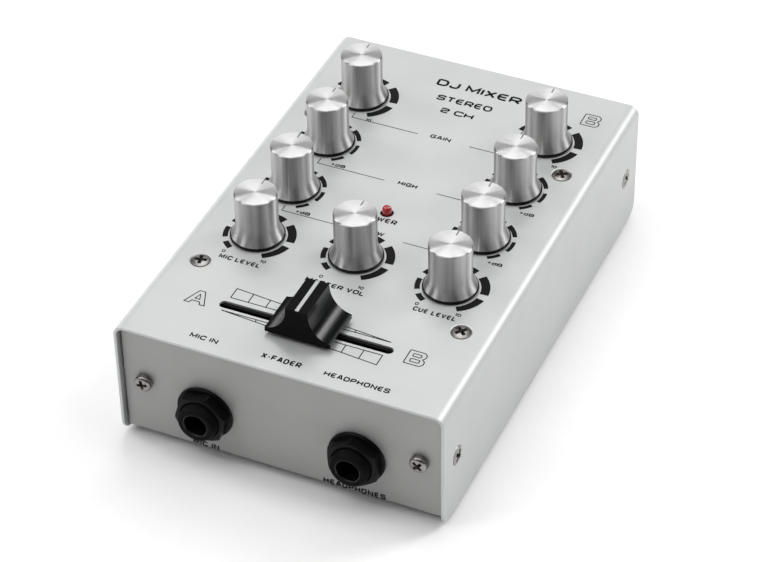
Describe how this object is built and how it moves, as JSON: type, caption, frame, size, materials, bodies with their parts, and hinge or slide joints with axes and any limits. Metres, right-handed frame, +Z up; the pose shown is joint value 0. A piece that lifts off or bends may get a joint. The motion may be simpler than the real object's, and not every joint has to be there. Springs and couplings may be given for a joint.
{
  "type": "dj mixer",
  "caption": "Compact tabletop audio mixer with a folded silver metal casing, spun aluminium rotary knobs, a crossfader and front jack sockets.",
  "frame": {"origin": "on the table under the middle of the mixer's whole length, jack tips and phono sleeves included", "axes": "+Z up, +X to the right along the front edge, +Y from the front panel with the jacks to the rear panel"},
  "size_m": [0.105, 0.1732, 0.0601],
  "materials": {
    "silver_paint": "satin silver lacquer on folded sheet steel",
    "panel_paint": "satin silver lacquer with a fine texture",
    "spun_aluminium": "turned and spun, with a polished edge",
    "screw_steel": "bright zinc plate",
    "plain_steel": "bright rolled steel",
    "black_plastic": "moulded, semi-matt",
    "gloss_black_plastic": "moulded, glossy",
    "matt_black_plastic": "moulded, matt",
    "nickel_plate": "bright nickel plate",
    "red_lens": "clear tinted epoxy lens",
    "foot_rubber": "moulded rubber",
    "circuit_board": "glass-epoxy laminate with green mask",
    "print_black": "screen-printed ink"
  },
  "bodies": {
    "casing": {"board_connector": "black_plastic", "chassis": "panel_paint", "corner_bracket_front_left": "plain_steel", "corner_bracket_front_right": "plain_steel", "corner_bracket_rear_left": "plain_steel", "corner_bracket_rear_right": "plain_steel", "fader_housing": "plain_steel", "foot_front_left": "foot_rubber", "foot_front_right": "foot_rubber", "foot_rear_left": "foot_rubber", "foot_rear_right": "foot_rubber", "jack_headphone": "black_plastic", "jack_mic": "black_plastic", "jack_nut_headphone": "black_plastic", "jack_nut_mic": "black_plastic", "main_board": "circuit_board", "panel_screw_front_left": "screw_steel", "panel_screw_front_right": "screw_steel", "panel_screw_rear_left": "screw_steel", "panel_screw_rear_right": "screw_steel", "phono_sockets_input_a": "nickel_plate", "phono_sockets_input_b": "nickel_plate", "phono_sockets_master_out": "nickel_plate", "power_inlet": "black_plastic", "power_led": "red_lens", "rear_board": "circuit_board", "side_screw_front_left": "screw_steel", "side_screw_front_right": "screw_steel", "side_screw_rear_left": "screw_steel", "side_screw_rear_right": "screw_steel", "switch_housing_a": "plain_steel", "switch_housing_b": "plain_steel", "top_cover": "silver_paint", "top_screw_front_left": "screw_steel", "top_screw_front_right": "screw_steel", "top_screw_rear_left": "screw_steel", "top_screw_rear_right": "screw_steel"},
    "gain_a_control": {"knob_gain_a": "spun_aluminium", "shaft_gain_a": "plain_steel"},
    "gain_b_control": {"knob_gain_b": "spun_aluminium", "shaft_gain_b": "plain_steel"},
    "high_a_control": {"knob_high_a": "spun_aluminium", "shaft_high_a": "plain_steel"},
    "high_b_control": {"knob_high_b": "spun_aluminium", "shaft_high_b": "plain_steel"},
    "low_a_control": {"knob_low_a": "spun_aluminium", "shaft_low_a": "plain_steel"},
    "low_b_control": {"knob_low_b": "spun_aluminium", "shaft_low_b": "plain_steel"},
    "mic_level_control": {"knob_mic_level": "spun_aluminium", "shaft_mic_level": "plain_steel"},
    "cue_level_control": {"knob_cue_level": "spun_aluminium", "shaft_cue_level": "plain_steel"},
    "master_vol_control": {"knob_master_vol": "spun_aluminium", "shaft_master_vol": "plain_steel"},
    "crossfader": {"fader_carriage": "matt_black_plastic", "fader_cap": "gloss_black_plastic"},
    "input_switch_a": {"switch_slider_a": "matt_black_plastic"},
    "input_switch_b": {"switch_slider_b": "matt_black_plastic"}
  },
  "joints": [
    {"name": "gain_a_turn", "type": "hinge", "parent": "casing", "child": "gain_a_control", "pos_m": [-0.03164, 0.05045, 0.0435], "axis": [0, 0, 1], "range_deg": [-150, 150]},
    {"name": "gain_b_turn", "type": "hinge", "parent": "casing", "child": "gain_b_control", "pos_m": [0.03164, 0.05045, 0.0435], "axis": [0, 0, 1], "range_deg": [-150, 150]},
    {"name": "high_a_turn", "type": "hinge", "parent": "casing", "child": "high_a_control", "pos_m": [-0.03164, 0.02426, 0.0435], "axis": [0, 0, 1], "range_deg": [-150, 150]},
    {"name": "high_b_turn", "type": "hinge", "parent": "casing", "child": "high_b_control", "pos_m": [0.03164, 0.02426, 0.0435], "axis": [0, 0, 1], "range_deg": [-150, 150]},
    {"name": "low_a_turn", "type": "hinge", "parent": "casing", "child": "low_a_control", "pos_m": [-0.03164, -0.00168, 0.0435], "axis": [0, 0, 1], "range_deg": [-150, 150]},
    {"name": "low_b_turn", "type": "hinge", "parent": "casing", "child": "low_b_control", "pos_m": [0.03164, -0.00168, 0.0435], "axis": [0, 0, 1], "range_deg": [-150, 150]},
    {"name": "mic_level_turn", "type": "hinge", "parent": "casing", "child": "mic_level_control", "pos_m": [-0.03164, -0.02701, 0.0435], "axis": [0, 0, 1], "range_deg": [-150, 150]},
    {"name": "cue_level_turn", "type": "hinge", "parent": "casing", "child": "cue_level_control", "pos_m": [0.03164, -0.02701, 0.0435], "axis": [0, 0, 1], "range_deg": [-150, 150]},
    {"name": "master_vol_turn", "type": "hinge", "parent": "casing", "child": "master_vol_control", "pos_m": [0, -0.0248, 0.0435], "axis": [0, 0, 1], "range_deg": [-150, 150]},
    {"name": "crossfader_slide", "type": "slide", "parent": "casing", "child": "crossfader", "axis": [1, 0, 0], "range_m": [-0.02345, 0.02155]},
    {"name": "input_switch_a_slide", "type": "slide", "parent": "casing", "child": "input_switch_a", "axis": [1, 0, 0], "range_m": [0, 0.003]},
    {"name": "input_switch_b_slide", "type": "slide", "parent": "casing", "child": "input_switch_b", "axis": [1, 0, 0], "range_m": [0, 0.003]}
  ]
}
